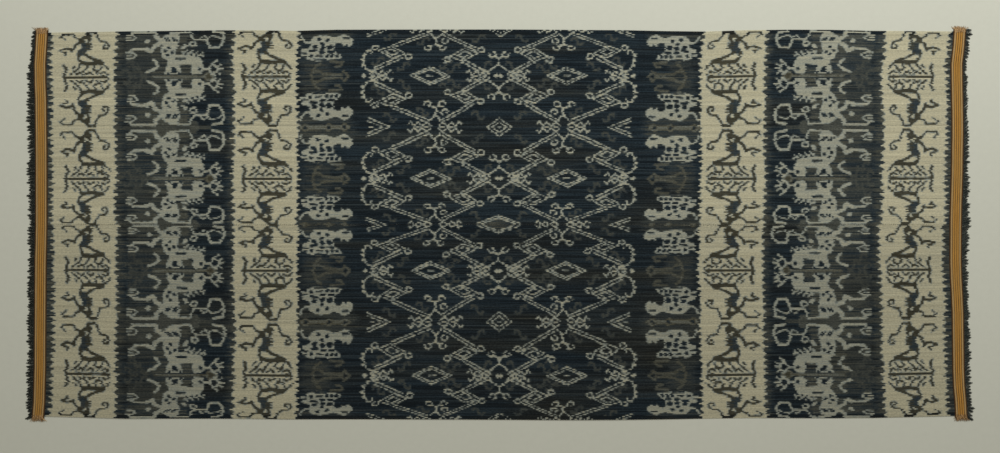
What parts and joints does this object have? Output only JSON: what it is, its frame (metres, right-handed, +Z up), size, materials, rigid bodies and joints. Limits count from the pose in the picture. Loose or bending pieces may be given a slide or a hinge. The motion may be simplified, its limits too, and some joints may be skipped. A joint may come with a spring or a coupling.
{
  "type": "ikat woven cloth",
  "caption": "Flat warp ikat cloth sewn from panels along a centre seam, with woven striped end bands and short cut fringes, lying face up.",
  "frame": {"origin": "on the surface that the cloth lies on, under the middle of its outer box", "axes": "+X along the warp from end to end, +Y across the cloth from selvedge to selvedge, +Z up out of the face"},
  "size_m": [2.6596, 1.094, 0.0028],
  "materials": {
    "ikat_cloth": "matt handspun cotton, tied and dyed indigo and brown-black on undyed beige",
    "band_yarn": "matt cotton yarn in orange-brown, ochre and dark brown stripes",
    "fringe_yarn": "matt cut warp ends, dyed nearly black indigo"
  },
  "bodies": {
    "root": {"panel_upper": "ikat_cloth", "panel_lower": "ikat_cloth", "band_left": "band_yarn", "fringe_left": "fringe_yarn", "band_right": "band_yarn", "fringe_right": "fringe_yarn"}
  },
  "joints": []
}
